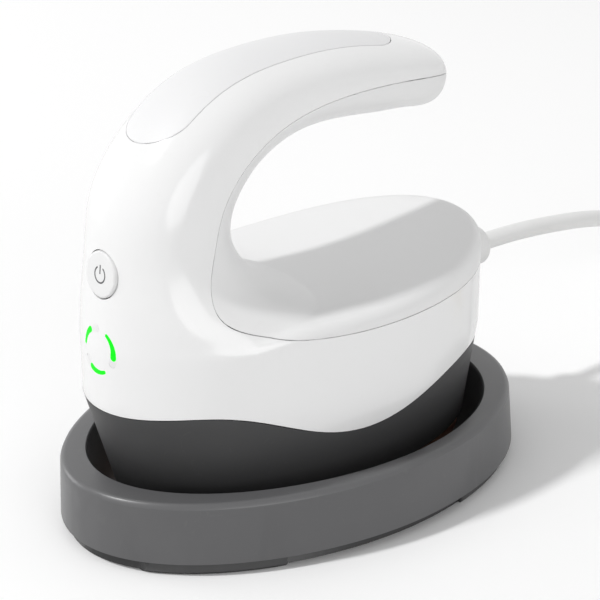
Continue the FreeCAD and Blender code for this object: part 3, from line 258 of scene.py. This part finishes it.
# finishes: colours as linear values, grain and wear scales per metre
looks = {
    "glossyShellWhite": {"color": (0.84, 0.84, 0.84), "worn": (0.74, 0.73, 0.71), "roughness": 0.16,
                         "spread": 0.06, "grainScale": 300.0, "bump": 0.03, "coat": 0.35,
                         "coatRoughness": 0.06, "amount": 0.08},
    "deckWhite": {"color": (0.80, 0.80, 0.80), "worn": (0.74, 0.73, 0.71), "roughness": 0.30,
                  "spread": 0.06, "grainScale": 700.0, "bump": 0.05, "amount": 0.08},
    "softTouchInlay": {"color": (0.78, 0.78, 0.785), "worn": (0.70, 0.69, 0.67), "roughness": 0.52,
                       "spread": 0.08, "grainScale": 1500.0, "bump": 0.12, "amount": 0.10},
    "buttonWhite": {"color": (0.78, 0.78, 0.78), "worn": (0.70, 0.69, 0.67), "roughness": 0.40,
                    "spread": 0.06, "grainScale": 1200.0, "bump": 0.08, "amount": 0.12},
    "housingBlack": {"color": (0.040, 0.040, 0.041), "worn": (0.07, 0.07, 0.07), "roughness": 0.50,
                     "spread": 0.08, "grainScale": 1300.0, "bump": 0.20, "amount": 0.15},
    "standGrey": {"color": (0.103, 0.103, 0.106), "worn": (0.14, 0.14, 0.14), "roughness": 0.33,
                  "spread": 0.08, "grainScale": 1200.0, "bump": 0.22, "amount": 0.18},
    "footRubber": {"color": (0.060, 0.060, 0.061), "worn": (0.10, 0.098, 0.095), "roughness": 0.72,
                   "grainScale": 1500.0, "bump": 0.3, "amount": 0.35},
    "padSilicone": {"color": (0.20, 0.20, 0.21), "worn": (0.27, 0.26, 0.25), "roughness": 0.60,
                    "grainScale": 1000.0, "bump": 0.2},
    "copperCoating": {"color": (0.56, 0.30, 0.19), "worn": (0.36, 0.20, 0.13), "roughness": 0.34,
                      "spread": 0.10, "grainScale": 2600.0, "bump": 0.25, "metallic": 0.85,
                      "amount": 0.30, "wearScale": 70.0},
    "sheetSteel": {"color": (0.56, 0.56, 0.57), "worn": (0.42, 0.40, 0.38), "roughness": 0.34,
                   "spread": 0.12, "grainScale": 500.0, "bump": 0.1, "metallic": 1.0, "amount": 0.25,
                   "stretch": (1.0, 0.08, 1.0)},
    "screwZinc": {"color": (0.62, 0.62, 0.63), "worn": (0.45, 0.43, 0.40), "roughness": 0.30,
                  "spread": 0.12, "grainScale": 1200.0, "bump": 0.1, "metallic": 1.0, "amount": 0.35,
                  "wearScale": 200.0},
    "elementSheath": {"color": (0.34, 0.31, 0.29), "worn": (0.20, 0.15, 0.11), "roughness": 0.45,
                      "spread": 0.12, "metallic": 1.0, "amount": 0.6, "wearScale": 90.0},
    "mineralMat": {"color": (0.74, 0.73, 0.68), "worn": (0.55, 0.53, 0.47), "roughness": 0.92,
                   "grainScale": 260.0, "bump": 0.8, "bumpDistance": 0.0004, "amount": 0.5,
                   "wearScale": 120.0, "sheen": 0.2},
    "sensorCeramic": {"color": (0.74, 0.72, 0.66), "worn": (0.60, 0.56, 0.48), "roughness": 0.55,
                      "grainScale": 1800.0, "bump": 0.3},
    "fuseMetal": {"color": (0.58, 0.56, 0.52), "worn": (0.40, 0.38, 0.34), "roughness": 0.32,
                  "metallic": 1.0, "amount": 0.3},
    "boardGreen": {"color": (0.02, 0.16, 0.06), "worn": (0.05, 0.26, 0.11), "roughness": 0.38,
                   "grainScale": 600.0, "bump": 0.2, "coat": 0.3, "amount": 0.6, "wearScale": 300.0,
                   "stretch": (1.0, 0.15, 1.0)},
    "partBlack": {"color": (0.022, 0.022, 0.023), "worn": (0.07, 0.07, 0.07), "roughness": 0.45,
                  "grainScale": 1600.0, "bump": 0.2},
    "terminalGreen": {"color": (0.05, 0.26, 0.14), "worn": (0.10, 0.34, 0.20), "roughness": 0.42,
                      "grainScale": 1200.0, "bump": 0.15},
    "canAluminium": {"color": (0.70, 0.70, 0.72), "worn": (0.52, 0.52, 0.54), "roughness": 0.28,
                     "metallic": 1.0, "stretch": (1.0, 1.0, 0.1)},
    "ledBody": {"color": (0.78, 0.77, 0.66), "worn": (0.70, 0.68, 0.52), "roughness": 0.25,
                "amount": 0.2},
    "lensGreen": {"color": (0.78, 0.78, 0.78), "worn": (0.72, 0.72, 0.70), "roughness": 0.45,
                  "grainScale": 1500.0, "bump": 0.05, "amount": 0.1, "glowStrength": 1.0,
                  "specular": 0.15},
    "shroudBlack": {"color": (0.018, 0.018, 0.018), "worn": (0.04, 0.04, 0.04), "roughness": 0.65,
                    "bump": 0.2},
    "wireSleeve": {"color": (0.66, 0.63, 0.56), "worn": (0.52, 0.48, 0.40), "roughness": 0.55,
                   "grainScale": 2200.0, "bump": 0.3},
    "cableGrey": {"color": (0.52, 0.52, 0.53), "worn": (0.42, 0.42, 0.43), "roughness": 0.45,
                  "grainScale": 900.0, "bump": 0.15, "stretch": (6.0, 0.3, 1.0)},
    "cordWhite": {"color": (0.78, 0.78, 0.775), "worn": (0.68, 0.67, 0.64), "roughness": 0.36,
                  "spread": 0.08, "grainScale": 800.0, "bump": 0.10, "amount": 0.18},
    "bladeBrass": {"color": (0.72, 0.56, 0.26), "worn": (0.50, 0.36, 0.15), "roughness": 0.28,
                   "spread": 0.10, "metallic": 1.0, "amount": 0.35, "wearScale": 180.0,
                   "stretch": (1.0, 0.2, 1.0)},
    "tieFabric": {"color": (0.022, 0.022, 0.023), "worn": (0.07, 0.07, 0.07), "roughness": 0.85,
                  "grainScale": 1800.0, "bump": 0.6, "bumpDistance": 0.0001, "sheen": 0.3},
    "iconGrey": {"color": (0.075, 0.075, 0.08), "worn": (0.14, 0.14, 0.14), "roughness": 0.45,
                 "grainScale": 1500.0, "bump": 0.1},
}


def surface(name, ownLook):
    # one plastic, metal or fabric finish: colour, wear, grain and gloss
    look = {**plainLook, **ownLook}
    material = bpy.data.materials.new(name)
    material.use_nodes = True
    tree = material.node_tree
    shader = tree.nodes["Principled BSDF"]
    place = addNode(tree, "TexCoord")
    mapping = addNode(tree, "Mapping", {"Scale": look["stretch"]})
    wear = addNode(tree, "Group")
    wear.node_tree = scuffs
    wear.inputs["Base Color"].default_value = (*look["color"], 1.0)
    wear.inputs["Worn Color"].default_value = (*look["worn"], 1.0)
    wear.inputs["Scale"].default_value = look["wearScale"]
    wear.inputs["Amount"].default_value = look["amount"]
    grain = addNode(tree, "Group")
    grain.node_tree = fineGrain
    grain.inputs["Scale"].default_value = look["grainScale"]
    grain.inputs["Roughness"].default_value = look["roughness"]
    grain.inputs["Spread"].default_value = look["spread"]
    relief = addNode(tree, "Bump", {"Strength": look["bump"], "Distance": look["bumpDistance"]})
    link = tree.links.new
    link(place.outputs["Object"], mapping.inputs["Vector"])
    link(mapping.outputs["Vector"], wear.inputs["Vector"])
    link(mapping.outputs["Vector"], grain.inputs["Vector"])
    link(wear.outputs["Color"], shader.inputs["Base Color"])
    link(grain.outputs["Roughness"], shader.inputs["Roughness"])
    link(grain.outputs["Height"], relief.inputs["Height"])
    link(relief.outputs["Normal"], shader.inputs["Normal"])
    shader.inputs["Metallic"].default_value = look["metallic"]
    shader.inputs["Coat Weight"].default_value = look["coat"]
    shader.inputs["Coat Roughness"].default_value = look["coatRoughness"]
    shader.inputs["Sheen Weight"].default_value = look["sheen"]
    shader.inputs["Specular IOR Level"].default_value = look["specular"]
    shader.inputs["Emission Strength"].default_value = look["glowStrength"]
    return material


materials = {name: surface(name, look) for name, look in looks.items()}


def baseColor(shader):
    return shader.inputs["Base Color"].links[0].from_socket


# light behind the lens: middle and half width of the lit part of each arc, in degrees, and the
# radius of its round end
litSet = {
    "centre": (0.0, 0.0, 0.0578),
    "arcs": ((154.3, 26.7, 0.00085), (28.3, 32.7, 0.00095), (271.8, 29.2, 0.00088)),
    "radius": 0.006,
    "edge": 1.0,
    "endEdge": 0.00004,
    "green": (0.0, 0.30, 0.004, 1.0),
    "glow": (0.0, 1.0, 0.006, 1.0),
    "dark": (0.0, 0.0, 0.0, 1.0),
}


def joinMasks(tree, first, second):
    if first is None:
        return second
    join = addNode(tree, "Math", operation="MAXIMUM")
    tree.links.new(first, join.inputs[0])
    tree.links.new(second, join.inputs[1])
    return join.outputs[0]


def arcMask(tree, unit, middle, half):
    # inside the angle of the lit part
    turn = math.radians(middle)
    toward = addNode(tree, "VectorMath", {1: (math.cos(turn), 0.0, math.sin(turn))}, "DOT_PRODUCT")
    window = addNode(tree, "MapRange", {
        "From Min": math.cos(math.radians(half + litSet["edge"])),
        "From Max": math.cos(math.radians(half - litSet["edge"])),
    })
    tree.links.new(unit.outputs["Vector"], toward.inputs[0])
    tree.links.new(toward.outputs["Value"], window.inputs["Value"])
    return window.outputs["Result"]


def endMask(tree, flat, turn, end):
    # inside the round end of the lit part
    radius = litSet["radius"]
    middle = (radius * math.cos(turn), 0.0, radius * math.sin(turn))
    away = addNode(tree, "VectorMath", {1: middle}, "DISTANCE")
    tip = addNode(tree, "MapRange", {
        "From Min": end + litSet["endEdge"],
        "From Max": end - litSet["endEdge"],
    })
    tree.links.new(flat.outputs["Vector"], away.inputs[0])
    tree.links.new(away.outputs["Value"], tip.inputs["Value"])
    return tip.outputs["Result"]


def lightArcs(material):
    tree = material.node_tree
    shader = tree.nodes["Principled BSDF"]
    link = tree.links.new
    place = addNode(tree, "TexCoord")
    shift = addNode(tree, "VectorMath", {1: litSet["centre"]}, "SUBTRACT")
    flat = addNode(tree, "VectorMath", {1: (1.0, 0.0, 1.0)}, "MULTIPLY")
    unit = addNode(tree, "VectorMath", operation="NORMALIZE")
    link(place.outputs["Object"], shift.inputs[0])
    link(shift.outputs["Vector"], flat.inputs[0])
    link(flat.outputs["Vector"], unit.inputs[0])
    mask = None
    for middle, half, end in litSet["arcs"]:
        mask = joinMasks(tree, mask, arcMask(tree, unit, middle, half))
        mask = joinMasks(tree, mask, endMask(tree, flat, math.radians(middle - half), end))
    body = addNode(tree, "Mix", {"B": litSet["green"]})
    link(baseColor(shader), body.inputs["A"])
    glow = addNode(tree, "Mix", {"A": litSet["dark"], "B": litSet["glow"]})
    for mix, socket in ((body, "Base Color"), (glow, "Emission Color")):
        link(mask, mix.inputs["Factor"])
        link(mix.outputs["Result"], shader.inputs[socket])


# painted shade: below a set height the stand's colour turns near black, standing in for the deep shade on
# the skirt under its wall
paintedShadeSet = {
    "low": 0.00345,
    "high": 0.00358,
    "color": (0.022, 0.022, 0.023, 1.0),
}


def paintSkirtShade(material):
    # painted shade: the base colour is mixed towards near black where the height is under the low mark
    tree = material.node_tree
    shader = tree.nodes["Principled BSDF"]
    place = addNode(tree, "TexCoord")
    split = addNode(tree, "SeparateXYZ")
    level = addNode(tree, "MapRange", {"From Min": paintedShadeSet["low"], "From Max": paintedShadeSet["high"]})
    mix = addNode(tree, "Mix", {"A": paintedShadeSet["color"]})
    link = tree.links.new
    link(place.outputs["Object"], split.inputs["Vector"])
    link(split.outputs["Z"], level.inputs["Value"])
    link(level.outputs["Result"], mix.inputs["Factor"])
    link(baseColor(shader), mix.inputs["B"])
    link(mix.outputs["Result"], shader.inputs["Base Color"])


lightArcs(materials["lensGreen"])
# painted shade on the skirt under the stand's wall
paintSkirtShade(materials["standGrey"])
print("materials ready")

# solids that stay, with their finishes
finishes = {
    "plate_rest_pads": "padSilicone",
    "handle_screws": "screwZinc",
    "housing_screws": "screwZinc",
    "heating_element": "elementSheath",
    "element_cover_plate": "sheetSteel",
    "cover_plate_screws": "screwZinc",
    "insulation_mat": "mineralMat",
    "heat_shield": "sheetSteel",
    "plate_posts": "sheetSteel",
    "plate_post_screws": "screwZinc",
    "temperature_sensor": "sensorCeramic",
    "thermal_fuse": "fuseMetal",
    "fuse_strap": "sheetSteel",
    "power_board": "boardGreen",
    "terminal_block": "terminalGreen",
    "heater_relay": "partBlack",
    "board_capacitor": "canAluminium",
    "control_board": "boardGreen",
    "board_screws": "screwZinc",
    "tact_switch": "partBlack",
    "switch_plunger": "partBlack",
    "indicator_leds": "ledBody",
    "light_shroud": "shroudBlack",
    "heater_leads": "wireSleeve",
    "supply_wires": "wireSleeve",
    "sensor_leads": "wireSleeve",
    "board_connectors": "partBlack",
    "board_cable": "cableGrey",
    "plug_blades": "bladeBrass",
}
for node, finish in finishes.items():
    giveMaterial(nodes[node], materials[finish])

# pieces that get a smooth copy of their solid: finish, body, angle up to which faces blend
smoothed = {
    "outer_shell": ("glossyShellWhite", "press", 38.0),
    "inner_cover": ("deckWhite", "press", 38.0),
    "grip_inlay": ("softTouchInlay", "press", 38.0),
    "lower_housing": ("housingBlack", "press", 38.0),
    "heat_plate": ("copperCoating", "press", 30.0),
    "stand_shell": ("standGrey", "stand", 30.0),
    "stand_feet": ("footRubber", "stand", 30.0),
    "indicator_lens": ("lensGreen", "press", 30.0),
    "power_button": ("buttonWhite", "button", 30.0),
    "cord_gland": ("cordWhite", "press", 40.0),
    "plug_body": ("cordWhite", "press", 40.0),
    "cord_tie": ("tieFabric", "press", 40.0),
}

# small changes of form on the copies, one set for each piece
housingForm = {
    "middleY": 0.003,
    "bodyFront": 0.070,
    "solidTaper": 0.0136,
    "seenTaper": 0.0085,
    "taperTop": 0.041,
    "taperBottom": 0.0124,
    "frontStart": -0.024,
    "frontFull": -0.046,
}


def fillFront(point):
    # the lower body keeps more of its length at the front
    form = housingForm
    lost = held((form["taperTop"] - point.z) / (form["taperTop"] - form["taperBottom"]))
    ahead = held((form["frontStart"] - point.y) / (form["frontStart"] - form["frontFull"]))
    ease = ahead * ahead * (3 - 2 * ahead)
    seen = form["bodyFront"] - form["seenTaper"] * lost
    solid = form["bodyFront"] - form["solidTaper"] * lost
    point.y -= (form["middleY"] - point.y) * (seen / solid - 1.0) * ease


buttonForm = {
    "slope": 0.114,
    "sink": 0.0002,
    "depth": 0.0006,
    "middleZ": 0.0784,
}
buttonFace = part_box("power_button")[0].y


def leanButton(point):
    # the button's face follows the slope of the shell round it
    if point.y < buttonFace + buttonForm["depth"]:
        point.y += buttonForm["sink"] + buttonForm["slope"] * (point.z - buttonForm["middleZ"])


standForm = {
    "reachAcross": 0.0522,
    "reachFront": 0.0808,
    "reachRear": 0.0715,
    "middleY": 0.005,
    "draft": 0.0024,
    "wallBottom": 0.003,
    "wallHeight": 0.018,
    "wallShare": 0.945,
    "wallFoot": 0.0032,
    "topOut": 0.0009,
    "footIn": 0.0009,
    "lift": 0.0006,
    "footTop": 0.0029,
    "skirtShare": 0.84,
    "skirtOut": 0.0009,
    "skirtDown": 0.0008,
}


def shapeStand(point):
    # the wall is more upright and ends a little higher, and the skirt behind it reaches the floor
    form = standForm
    along = point.y - form["middleY"]
    height = held((point.z - form["wallBottom"]) / form["wallHeight"])
    lean = form["draft"] * height
    reach = (form["reachRear"] if along > 0 else form["reachFront"]) - lean
    share = math.hypot(point.x / (form["reachAcross"] - lean), along / reach)
    if point.z < form["footTop"]:
        if share > form["skirtShare"]:
            point.x *= 1 + form["skirtOut"] / form["reachAcross"]
            point.y += along * form["skirtOut"] / reach
            point.z -= form["skirtDown"]
        return
    if share < form["wallShare"]:
        return
    ahead = max(-along / form["reachFront"], 0.0)
    shift = form["topOut"] * height - form["footIn"] * ahead * ahead * (1 - height)
    point.x *= 1 + shift / form["reachAcross"]
    point.y += along * shift / reach
    if point.z < form["wallFoot"]:
        point.z += form["lift"]


def liftFeet(point):
    # the feet grow with the lifted wall
    if point.z > standForm["footTop"]:
        point.z += standForm["lift"]


lensForm = {
    "depth": 0.002,
    "arcMiddles": (137.0, 17.0, 257.0),
    "arcHalf": 38.0,
    "grow": 0.00012,
}
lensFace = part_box("indicator_lens")[0].y


def fillSlots(point):
    # the lens arcs close the fine gap to the shell
    if point.y > lensFace + lensForm["depth"]:
        return
    centre = Vector(litSet["centre"])
    radius = litSet["radius"]
    turn = math.degrees(math.atan2(point.z - centre.z, point.x))
    offsets = [(turn - middle + 180.0) % 360.0 - 180.0 for middle in lensForm["arcMiddles"]]
    nearest = min(range(len(offsets)), key=lambda index: abs(offsets[index]))
    offset = min(max(offsets[nearest], -lensForm["arcHalf"]), lensForm["arcHalf"])
    turn = math.radians(lensForm["arcMiddles"][nearest] + offset)
    middle = Vector((radius * math.cos(turn), point.y, centre.z + radius * math.sin(turn)))
    away = point - middle
    if away.length > 0:
        point += away.normalized() * lensForm["grow"]


forms = {
    "lower_housing": fillFront,
    "heat_plate": fillFront,
    "power_button": leanButton,
    "stand_shell": shapeStand,
    "stand_feet": liftFeet,
    "indicator_lens": fillSlots,
}

# smooth copies, and shading that flows over the seams of the moulded body
evenSet = {
    "mergeDistance": 0.00001,
    "weight": 60,
    "envelope": ("outer_shell", "inner_cover", "grip_inlay", "lower_housing", "indicator_lens"),
    "voxel": 0.0006,
    "passes": 14,
    "strength": 0.5,
    "buttonProud": 0.0003,
    "agree": 38.0,
    "sliverAgree": 76.0,
    "sliverHeight": 0.00006,
}


def smoothCopy(node, finish, body, angle):
    source = nodes[node]
    piece = source.copy()
    piece.data = source.data.copy()
    piece.name = node + "_skin"
    piece.parent = None
    piece.matrix_world = source.matrix_world.copy()
    bpy.context.scene.collection.objects.link(piece)
    makeActive(piece)
    bpy.ops.object.mode_set(mode="EDIT")
    bpy.ops.mesh.select_all(action="SELECT")
    bpy.ops.mesh.remove_doubles(threshold=evenSet["mergeDistance"])
    bpy.ops.object.mode_set(mode="OBJECT")
    settle(piece)
    if node in forms:
        for vertex in piece.data.vertices:
            forms[node](vertex.co)
    bpy.ops.object.shade_smooth_by_angle(angle=math.radians(angle))
    # large faces keep their own direction and the small rounded ones take up the turn
    evened = piece.modifiers.new("evened", "WEIGHTED_NORMAL")
    evened.mode = "FACE_AREA"
    evened.weight = evenSet["weight"]
    evened.keep_sharp = True
    applyModifiers(piece)
    giveMaterial(piece, materials[finish])
    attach(piece, body)
    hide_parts(node)
    return piece


def addEnvelope(pieces, button):
    # one soft closed skin round all the pieces, used only to read directions from
    deselectAll()
    for piece in pieces + [button]:
        double = piece.copy()
        double.data = piece.data.copy()
        double.parent = None
        double.location = (0, evenSet["buttonProud"] if piece == button else 0, 0)
        bpy.context.scene.collection.objects.link(double)
        double.select_set(True)
        bpy.context.view_layer.objects.active = double
    bpy.ops.object.join()
    envelope = bpy.context.object
    remesh = envelope.modifiers.new("remesh", "REMESH")
    remesh.mode = "VOXEL"
    remesh.voxel_size = evenSet["voxel"]
    soften = envelope.modifiers.new("soften", "SMOOTH")
    soften.factor = evenSet["strength"]
    soften.iterations = evenSet["passes"]
    applyModifiers(envelope)
    return envelope


def isSliver(mesh, polygon):
    corners = [mesh.vertices[index].co for index in polygon.vertices]
    longest = max((first - second).length for first, second in zip(corners, corners[1:] + corners[:1]))
    return 2 * polygon.area < longest * evenSet["sliverHeight"]


def takeDirections(piece, tree, spots, faces, directions):
    # each corner takes the envelope's direction, unless its face plainly points elsewhere
    mesh = piece.data
    soft = []
    for vertex in mesh.vertices:
        nearest = tree.find_nearest(vertex.co)
        point, index = nearest[0], nearest[2]
        corners = faces[index]
        shares = poly_3d_calc([spots[corner] for corner in corners], point)
        total = Vector()
        for corner, share in zip(corners, shares):
            total += directions[corner] * share
        soft.append(total.normalized())
    chosen = [corner.vector.copy() for corner in mesh.corner_normals]
    agree = math.cos(math.radians(evenSet["agree"]))
    sliverAgree = math.cos(math.radians(evenSet["sliverAgree"]))
    for polygon in mesh.polygons:
        least = sliverAgree if isSliver(mesh, polygon) else agree
        for loop in polygon.loop_indices:
            direction = soft[mesh.loops[loop].vertex_index]
            if direction.dot(polygon.normal) > least:
                chosen[loop] = direction
    mesh.normals_split_custom_set(chosen)


def evenOut(pieces, button):
    envelope = addEnvelope(pieces, button)
    mesh = envelope.data
    spots = [vertex.co.copy() for vertex in mesh.vertices]
    directions = [normal.vector.copy() for normal in mesh.vertex_normals]
    faces = [tuple(polygon.vertices) for polygon in mesh.polygons]
    tree = BVHTree.FromPolygons(spots, faces)
    for piece in pieces:
        takeDirections(piece, tree, spots, faces, directions)
    bpy.data.objects.remove(envelope)


skins = {node: smoothCopy(node, *how) for node, how in smoothed.items()}
evenOut([skins[node] for node in evenSet["envelope"]], skins["power_button"])
print("smooth skins made:", len(skins))

# cord, in millimetres: the route and tail are those of the solids
cordSet = {
    "diameter": 5.6,
    "route": ((0, 80, 51.7), (0, 94, 51.7), (0.4, 114, 50.3), (0.2, 136, 47.4), (-3.5, 160, 40.5),
              (-13, 184, 26.5), (-25, 206, 13.2), (-34, 226, 10.2), (-36, 244, 10.1), (-36, 258, 10.1)),
    "tail": ((0, 0, 0), (0, -11, 0), (0.3, -24, 0.9), (0, -36, 2.5), (0, -48, 2.5)),
    "outerRadius": 44.3,
    "turnPitch": 6.2,
    "layerPitch": 6.1,
    "halfTurns": 7,
    "pointsPerHalfTurn": 8,
    "roundSteps": 6,
    "lengthSteps": 6,
}


def coilPoints(start):
    # neat coil: in on the upper layer, down in one half turn, out on the lower layer
    step = cordSet["turnPitch"] / 2
    radii = [cordSet["outerRadius"] - step * index for index in range(cordSet["halfTurns"])]
    sizes = radii + [radii[-1] - step] + radii[::-1]
    count = cordSet["pointsPerHalfTurn"]
    swell = 1.0 / math.cos(math.pi / count / 2)  # control points stand a little outside the turn
    x, y, z = start
    points = []
    for index, radius in enumerate(sizes):
        heading = 1 if index % 2 == 0 else -1
        sinking = index == cordSet["halfTurns"]
        for place in range(count):
            turn = math.pi * (place + 0.5) / count
            sunk = (1 - math.cos(turn)) / 2
            drop = cordSet["layerPitch"] * sunk if sinking else 0.0
            points.append((x + heading * radius * (1 - swell * math.cos(turn)),
                           y + heading * radius * swell * math.sin(turn), z - drop))
        x += heading * 2 * radius
        if sinking:
            z -= cordSet["layerPitch"]
    return points, (x, y, z)


def addCord():
    route = list(cordSet["route"])
    begin = (route[-1][0], route[-1][1] + cordSet["diameter"], route[-1][2])
    turns, end = coilPoints(begin)
    finish = (end[0], end[1] - cordSet["diameter"], end[2])
    tail = [tuple(f + t for f, t in zip(finish, point)) for point in cordSet["tail"]]
    points = route + turns + tail
    curve = bpy.data.curves.new("power_lead", "CURVE")
    curve.dimensions = "3D"
    curve.bevel_depth = cordSet["diameter"] / 2 * millimetre
    curve.bevel_resolution = cordSet["roundSteps"]
    curve.resolution_u = cordSet["lengthSteps"]
    curve.use_fill_caps = True
    spline = curve.splines.new("NURBS")
    spline.points.add(len(points) - 1)
    for place, point in zip(spline.points, points):
        place.co = (*(value * millimetre for value in point), 1.0)
    spline.order_u = 3
    spline.use_endpoint_u = True
    lead = bpy.data.objects.new("power_lead", curve)
    bpy.context.scene.collection.objects.link(lead)
    lead.data.materials.append(materials["cordWhite"])
    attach(lead, "press")
    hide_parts("power_cord", "cord_coil", "cord_tail")


addCord()
print("cord laid")

# power sign on the button, in millimetres and degrees
signSet = {
    "centreZ": 78.4,
    "radius": 2.15,
    "stroke": 0.42,
    "segments": 48,
    "gapDegrees": 66.0,
    "barLow": 0.2,
    "barHigh": 2.6,
    "proud": 0.02,
    "sink": 0.15,
    "lean": 83.5,
}


def addPowerSign():
    stroke = signSet["stroke"] * millimetre
    sink = signSet["sink"] * millimetre
    low, high = signSet["barLow"], signSet["barHigh"]
    deselectAll()
    bpy.ops.mesh.primitive_circle_add(vertices=signSet["segments"], fill_type="NGON", location=(0, 0, 0),
                                      radius=(signSet["radius"] + signSet["stroke"] / 2) * millimetre)
    sign = bpy.context.object
    sign.name = "power_sign"
    bpy.ops.object.mode_set(mode="EDIT")
    bpy.ops.mesh.inset(thickness=stroke, depth=0)
    bpy.ops.mesh.delete(type="FACE")
    mesh = bmesh.from_edit_mesh(sign.data)
    for face in mesh.faces:
        middle = face.calc_center_median()
        away = abs(math.degrees(math.atan2(middle.x, middle.y)))
        face.select_set(away < signSet["gapDegrees"] / 2)
    bmesh.update_edit_mesh(sign.data)
    bpy.ops.mesh.delete(type="FACE")
    bpy.ops.mesh.select_all(action="DESELECT")
    bpy.ops.mesh.primitive_plane_add(size=1.0, location=(0, 0, 0))
    bpy.ops.transform.resize(value=(stroke, (high - low) * millimetre, 1.0))
    bpy.ops.transform.translate(value=(0, (high + low) / 2 * millimetre, 0))
    bpy.ops.mesh.select_all(action="SELECT")
    thickness = (signSet["proud"] + signSet["sink"]) * millimetre
    bpy.ops.mesh.extrude_region_move(TRANSFORM_OT_translate={"value": (0, 0, thickness)})
    bpy.ops.mesh.select_all(action="SELECT")
    bpy.ops.mesh.normals_make_consistent(inside=False)
    bpy.ops.object.mode_set(mode="OBJECT")
    sign.rotation_euler = (math.radians(signSet["lean"]), 0, 0)
    sign.location = (0, buttonFace + buttonForm["sink"] + sink, signSet["centreZ"] * millimetre)
    settle(sign)
    giveMaterial(sign, materials["iconGrey"])
    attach(sign, "button")


addPowerSign()
print("power sign printed")

# floor and light: the floor looks whiter to the camera than it is to the light
stageSet = {
    "floorSize": 6.0,
    "floorColor": (0.86, 0.86, 0.86, 1.0),
    "floorSeen": (0.985, 0.985, 0.985, 1.0),
    "floorRoughness": 0.85,
    "worldColor": (1.0, 1.0, 1.0, 1.0),
    "worldLight": 0.51,
    "worldSeen": 1.0,
}

# lamps: place, size, power
lamps = {
    "keyLamp": ((-1.60, -3.10, 4.90), 0.44, 180.0),
    "fillLamp": ((1.85, -0.50, 0.48), 1.4, 9.5),
    "sideLamp": ((-1.70, -0.75, 0.45), 1.0, 7.0),
}


def addFloor():
    deselectAll()
    bpy.ops.mesh.primitive_plane_add(size=stageSet["floorSize"], location=(0, 0, 0))
    floor = bpy.context.object
    floor.name = "studio_floor"
    material = bpy.data.materials.new("studioFloor")
    material.use_nodes = True
    tree = material.node_tree
    shader = tree.nodes["Principled BSDF"]
    shader.inputs["Roughness"].default_value = stageSet["floorRoughness"]
    path = addNode(tree, "LightPath")
    tone = addNode(tree, "Mix", {"A": stageSet["floorColor"], "B": stageSet["floorSeen"]})
    tree.links.new(path.outputs["Is Camera Ray"], tone.inputs["Factor"])
    tree.links.new(tone.outputs["Result"], shader.inputs["Base Color"])
    giveMaterial(floor, material)


def addLamp(name, place, size, power):
    lampData = bpy.data.lights.new(name, "AREA")
    lampData.shape = "DISK"
    lampData.size = size
    lampData.energy = power
    lamp = bpy.data.objects.new(name, lampData)
    bpy.context.scene.collection.objects.link(lamp)
    lamp.location = place
    aimAt(lamp, viewSet["target"])


def addWorld():
    world = bpy.data.worlds.new("studioWorld")
    bpy.context.scene.world = world
    world.use_nodes = True
    tree = world.node_tree
    light = tree.nodes["Background"]
    light.inputs["Color"].default_value = stageSet["worldColor"]
    light.inputs["Strength"].default_value = stageSet["worldLight"]
    white = addNode(tree, "Background", {"Color": stageSet["worldColor"], "Strength": stageSet["worldSeen"]})
    path = addNode(tree, "LightPath")
    mix = addNode(tree, "MixShader")
    seen = addNode(tree, "Math", operation="ADD")
    direct = addNode(tree, "Math", operation="ADD")
    direct.use_clamp = True
    link = tree.links.new
    link(path.outputs["Is Glossy Ray"], seen.inputs[0])
    link(path.outputs["Is Transmission Ray"], seen.inputs[1])
    link(path.outputs["Is Camera Ray"], direct.inputs[0])
    link(seen.outputs[0], direct.inputs[1])
    link(direct.outputs[0], mix.inputs["Fac"])
    link(light.outputs["Background"], mix.inputs[1])
    link(white.outputs["Background"], mix.inputs[2])
    link(mix.outputs["Shader"], tree.nodes["World Output"].inputs["Surface"])


addFloor()
for name, (place, size, power) in lamps.items():
    addLamp(name, place, size, power)
addWorld()
print("stage set")
